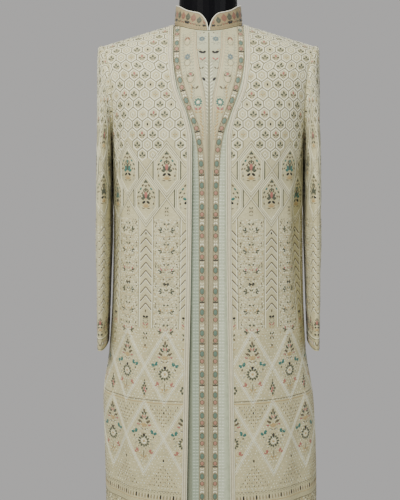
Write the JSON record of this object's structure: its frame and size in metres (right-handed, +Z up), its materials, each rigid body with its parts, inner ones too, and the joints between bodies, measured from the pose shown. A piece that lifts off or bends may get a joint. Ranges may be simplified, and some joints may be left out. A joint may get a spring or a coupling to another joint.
{
  "type": "sherwani coat on a dress form",
  "caption": "Long jacket-style sherwani coat with a stand collar, open over a satin inner front with ribbons, hanging on a smooth limbless dress form with a pole and a round base.",
  "frame": {"origin": "on the floor, under the middle of the round base plate", "axes": "+Z up, the coat's front faces -Y, the wearer's left is +X"},
  "size_m": [0.4861, 0.36, 1.6],
  "materials": {
    "embroidered_brocade": "matte cream cloth with dense stitched motifs",
    "mint_satin": "soft satin",
    "embroidered_ribbon": "woven ribbon with stitched oval motifs",
    "bib_cloth": "matte off-white cloth with small stitched sprigs",
    "yoke_cloth": "matte cream cloth with stitched sprigs",
    "plain_edge_band": "plain cream satin binding",
    "collar_cloth": "beige cloth with a row of stitched sprigs",
    "cream_piping": "corded satin piping",
    "form_gloss_black": "glossy black",
    "stand_steel": "dark satin paint"
  },
  "bodies": {
    "root": {"front_left": "embroidered_brocade", "front_right": "embroidered_brocade", "back_left": "embroidered_brocade", "back_right": "embroidered_brocade", "sleeve_left_upper": "embroidered_brocade", "sleeve_left_under": "embroidered_brocade", "sleeve_right_upper": "embroidered_brocade", "sleeve_right_under": "embroidered_brocade", "inner_front_left": "mint_satin", "inner_front_right": "mint_satin", "bib_left": "bib_cloth", "bib_right": "bib_cloth", "yoke_left": "yoke_cloth", "yoke_right": "yoke_cloth", "ribbon_left": "embroidered_ribbon", "ribbon_right": "embroidered_ribbon", "edge_band_left": "plain_edge_band", "edge_band_right": "plain_edge_band", "collar": "collar_cloth", "collar_piping": "cream_piping", "form_torso": "form_gloss_black", "form_pole": "stand_steel", "form_base": "stand_steel"}
  },
  "joints": []
}
